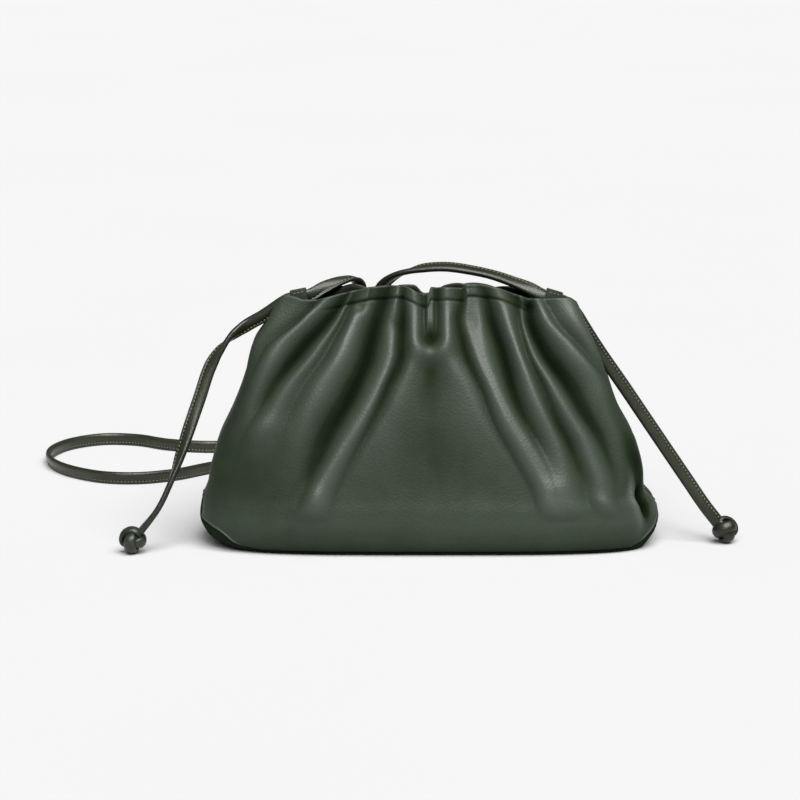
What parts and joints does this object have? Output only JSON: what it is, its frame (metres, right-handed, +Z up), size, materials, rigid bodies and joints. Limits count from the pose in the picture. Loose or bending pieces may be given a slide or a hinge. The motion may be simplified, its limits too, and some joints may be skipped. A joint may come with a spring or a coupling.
{
  "type": "cloud pouch bag",
  "caption": "Gathered pouch bag of soft leather with a drawstring mouth, a canoe-shaped base and a long knotted strap.",
  "frame": {"origin": "middle of the flat underside of the bag's base, on the surface that the bag stands on", "axes": "+X along the bag to the viewer's right, +Y from front to back, +Z up"},
  "size_m": [0.3627, 0.2623, 0.1375],
  "materials": {
    "nappa_leather": "smooth dark green nappa with a soft satin gloss",
    "strap_leather": "folded and edge-stitched dark green leather strap"
  },
  "bodies": {
    "root": {"front_panel": "nappa_leather", "back_panel": "nappa_leather", "base_panel": "nappa_leather", "keeper_left": "strap_leather", "keeper_right": "strap_leather", "shoulder_strap": "strap_leather", "tail_left": "strap_leather", "tail_right": "strap_leather", "knot_left": "strap_leather", "knot_right": "strap_leather"}
  },
  "joints": []
}
